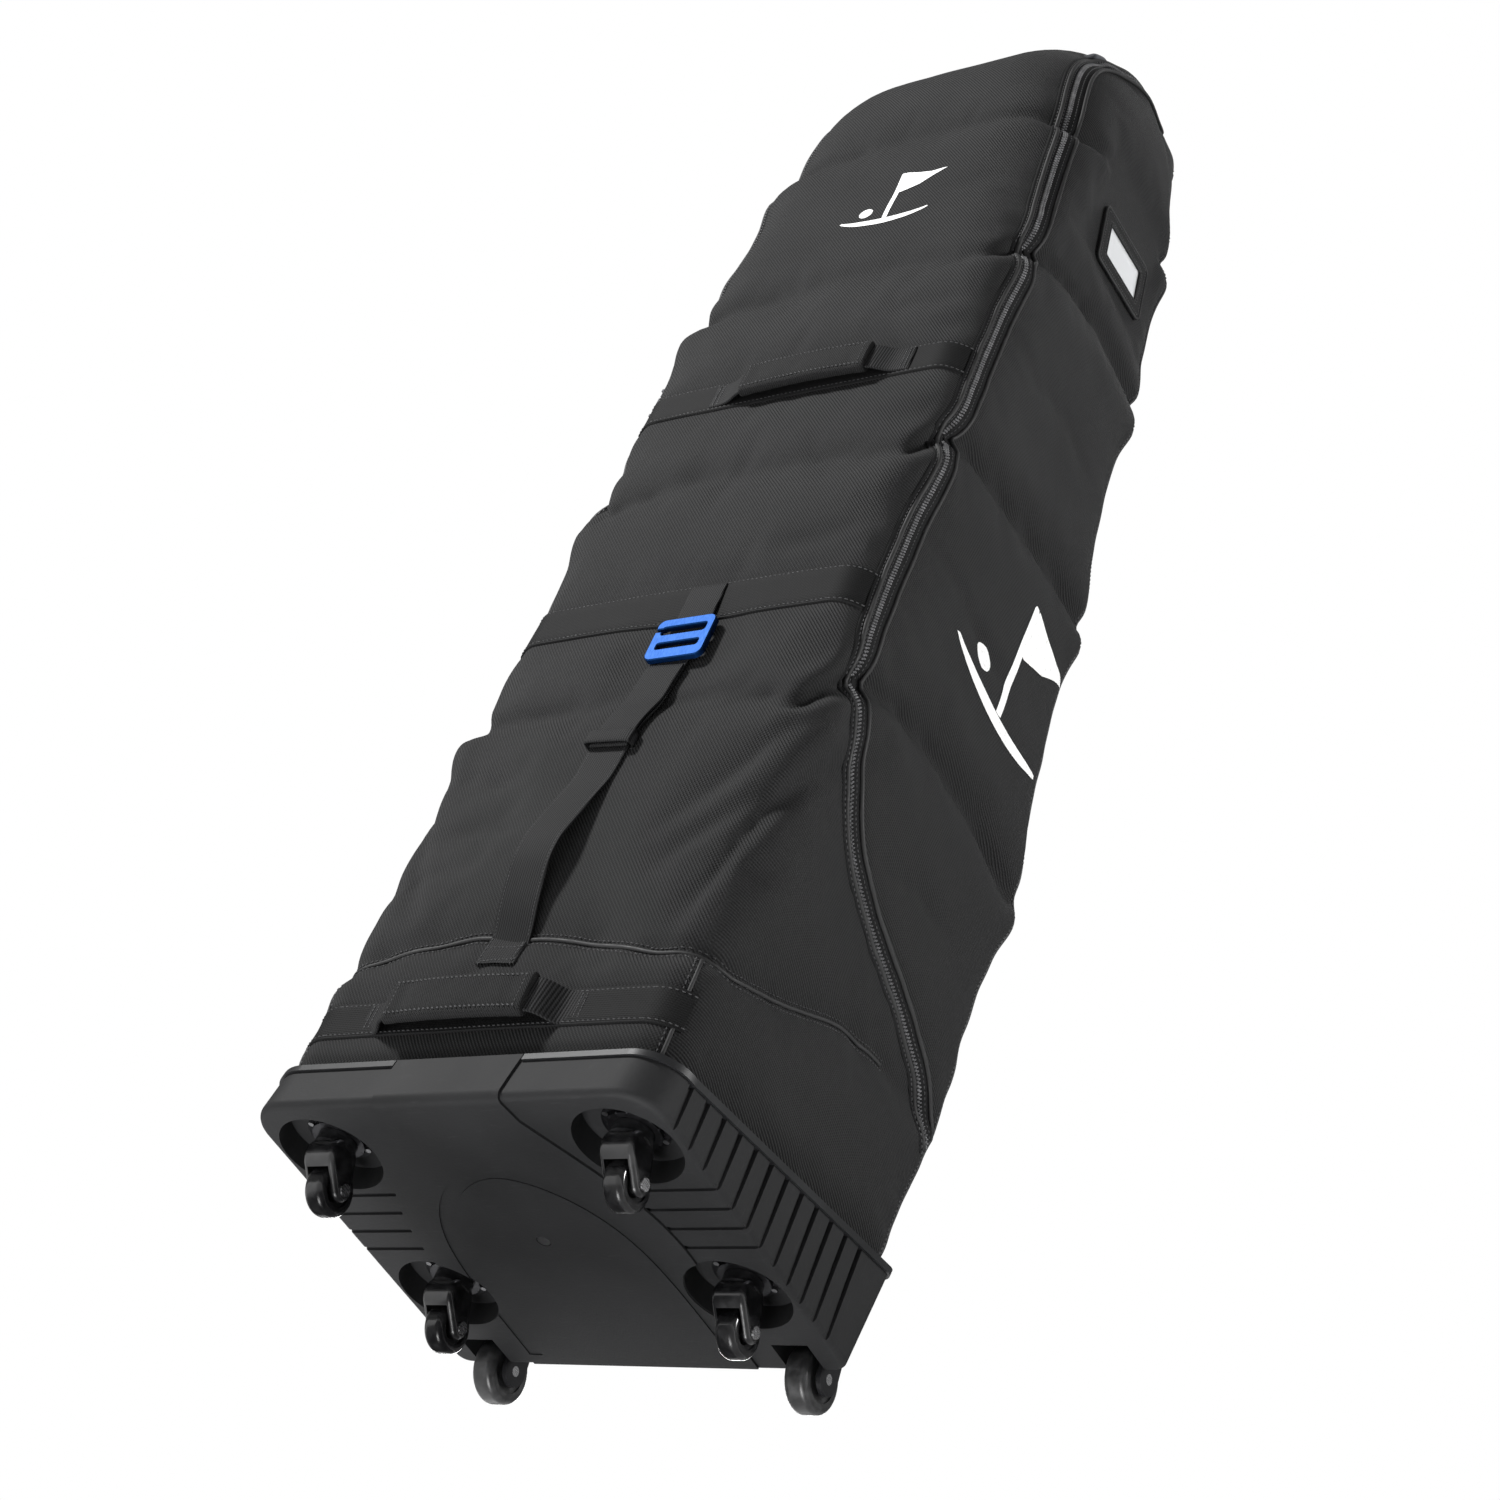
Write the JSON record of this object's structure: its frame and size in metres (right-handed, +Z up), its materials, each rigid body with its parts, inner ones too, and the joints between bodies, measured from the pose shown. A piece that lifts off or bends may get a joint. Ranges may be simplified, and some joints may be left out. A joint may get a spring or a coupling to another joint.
{
  "type": "golf travel case",
  "caption": "Tall padded wheeled travel case for a golf bag: soft shell with fold-down zipped front, moulded base, swivel casters, grips and lash strap.",
  "frame": {"origin": "on the floor under the centre of the whole case", "axes": "+Z up along the case, -Y its front, +X its right side seen from the front"},
  "size_m": [0.3564, 0.364, 1.436],
  "materials": {
    "fabric": "dense dark twill polyester",
    "moulded_base": "satin moulded",
    "rim_rail": "satin extruded rail",
    "steel": "plated",
    "dark_steel": "blackened plate",
    "black_plastic": "satin",
    "zip": "nylon coil and woven tape",
    "webbing": "flat woven webbing",
    "clear_sheet": "clear flexible sheet",
    "card": "smooth card",
    "liner_board": "grained board",
    "lining": "plain lining over foam",
    "blue_anodised": "anodised satin",
    "dark_metal": "dark plated",
    "wheel_rubber": "smooth cast",
    "gloss_black": "polished",
    "gloss_wheel": "polished"
  },
  "bodies": {
    "case": {"base_tray": "moulded_base", "skid_plate": "moulded_base", "rim_bead": "rim_rail", "base_screws": "steel", "caster_plates": "dark_steel", "swivel_rings": "steel", "wheel_housing_right": "black_plastic", "wheel_housing_left": "black_plastic", "large_axle_right": "steel", "large_axle_left": "steel", "boot_front": "fabric", "back_panel": "fabric", "side_panel_right": "fabric", "side_panel_left": "fabric", "boot_side_right": "fabric", "boot_side_left": "fabric", "zip_track_right": "zip", "zip_track_left": "zip", "lower_band": "webbing", "lower_grip_tabs": "webbing", "lash_strap_lower": "webbing", "strap_keeper": "webbing", "id_pocket": "fabric", "id_window": "clear_sheet", "base_liner": "liner_board", "back_board": "liner_board", "inner_straps": "webbing", "inner_buckles": "black_plastic"},
    "lid": {"lid_panel": "fabric", "lid_top": "fabric", "top_pad": "lining", "middle_band": "webbing", "upper_band": "webbing", "upper_grip_tabs": "webbing", "lash_strap_upper": "webbing", "buckle_loop": "webbing"},
    "hook": {"hook_buckle": "blue_anodised"},
    "upper_grip": {"upper_grip": "fabric"},
    "lower_grip": {"lower_grip": "fabric"},
    "zip_slider_upper": {"zip_slider_upper": "dark_metal"},
    "zip_pull_upper": {"zip_pull_upper": "dark_metal"},
    "zip_slider_lower": {"zip_slider_lower": "dark_metal"},
    "zip_pull_lower": {"zip_pull_lower": "dark_metal"},
    "id_card": {"id_card": "card"},
    "large_wheel_right": {"large_wheel_right": "wheel_rubber"},
    "large_wheel_left": {"large_wheel_left": "wheel_rubber"},
    "fork_front_right": {"caster_fork_front_right": "gloss_black", "caster_axle_front_right": "steel"},
    "wheel_front_right": {"caster_wheel_front_right": "gloss_wheel"},
    "fork_front_left": {"caster_fork_front_left": "gloss_black", "caster_axle_front_left": "steel"},
    "wheel_front_left": {"caster_wheel_front_left": "gloss_wheel"},
    "fork_rear_right": {"caster_fork_rear_right": "gloss_black", "caster_axle_rear_right": "steel"},
    "wheel_rear_right": {"caster_wheel_rear_right": "gloss_wheel"},
    "fork_rear_left": {"caster_fork_rear_left": "gloss_black", "caster_axle_rear_left": "steel"},
    "wheel_rear_left": {"caster_wheel_rear_left": "gloss_wheel"}
  },
  "joints": [
    {"name": "lid_fold", "type": "hinge", "parent": "case", "child": "lid", "pos_m": [0, -0.157, 0.422], "axis": [1, 0, 0], "range_deg": [0, 110]},
    {"name": "hook_swing", "type": "hinge", "parent": "lid", "child": "hook", "pos_m": [0.017, -0.1598, 0.477], "axis": [1, 0, 0], "range_deg": [0, 75]},
    {"name": "upper_grip_pull", "type": "slide", "parent": "lid", "child": "upper_grip", "axis": [0, -1, 0], "range_m": [0, 0.012], "stiffness_N_per_m": 400},
    {"name": "lower_grip_pull", "type": "slide", "parent": "case", "child": "lower_grip", "axis": [0, -1, 0], "range_m": [0, 0.012], "stiffness_N_per_m": 400},
    {"name": "zip_upper_slide", "type": "slide", "parent": "case", "child": "zip_slider_upper", "axis": [0, 0, 1], "range_m": [0, 0.3]},
    {"name": "zip_upper_pull_swing", "type": "hinge", "parent": "zip_slider_upper", "child": "zip_pull_upper", "pos_m": [-0.1746, -0.128, 0.896], "axis": [0, 1, 0], "range_deg": [0, 100]},
    {"name": "zip_lower_slide", "type": "slide", "parent": "case", "child": "zip_slider_lower", "axis": [0, 0, -1], "range_m": [0, 0.3]},
    {"name": "zip_lower_pull_swing", "type": "hinge", "parent": "zip_slider_lower", "child": "zip_pull_lower", "pos_m": [-0.1746, -0.128, 0.86], "axis": [0, 1, 0], "range_deg": [0, 100]},
    {"name": "id_card_slide", "type": "slide", "parent": "case", "child": "id_card", "axis": [0, -0.2079, 0.9781], "range_m": [0, 0.055]},
    {"name": "large_wheel_right_spin", "type": "hinge", "parent": "case", "child": "large_wheel_right", "pos_m": [0.139, 0.157, 0.038], "axis": [1, 0, 0], "continuous": true},
    {"name": "large_wheel_left_spin", "type": "hinge", "parent": "case", "child": "large_wheel_left", "pos_m": [-0.139, 0.157, 0.038], "axis": [1, 0, 0], "continuous": true},
    {"name": "swivel_front_right", "type": "hinge", "parent": "case", "child": "fork_front_right", "pos_m": [0.128, -0.109, 0.05], "axis": [0, 0, 1], "continuous": true},
    {"name": "roll_front_right", "type": "hinge", "parent": "fork_front_right", "child": "wheel_front_right", "pos_m": [0.128, -0.095, 0.019], "axis": [1, 0, 0], "continuous": true},
    {"name": "swivel_front_left", "type": "hinge", "parent": "case", "child": "fork_front_left", "pos_m": [-0.128, -0.109, 0.05], "axis": [0, 0, 1], "continuous": true},
    {"name": "roll_front_left", "type": "hinge", "parent": "fork_front_left", "child": "wheel_front_left", "pos_m": [-0.128, -0.095, 0.019], "axis": [1, 0, 0], "continuous": true},
    {"name": "swivel_rear_right", "type": "hinge", "parent": "case", "child": "fork_rear_right", "pos_m": [0.128, 0.058, 0.05], "axis": [0, 0, 1], "continuous": true},
    {"name": "roll_rear_right", "type": "hinge", "parent": "fork_rear_right", "child": "wheel_rear_right", "pos_m": [0.128, 0.072, 0.019], "axis": [1, 0, 0], "continuous": true},
    {"name": "swivel_rear_left", "type": "hinge", "parent": "case", "child": "fork_rear_left", "pos_m": [-0.128, 0.058, 0.05], "axis": [0, 0, 1], "continuous": true},
    {"name": "roll_rear_left", "type": "hinge", "parent": "fork_rear_left", "child": "wheel_rear_left", "pos_m": [-0.128, 0.072, 0.019], "axis": [1, 0, 0], "continuous": true}
  ]
}
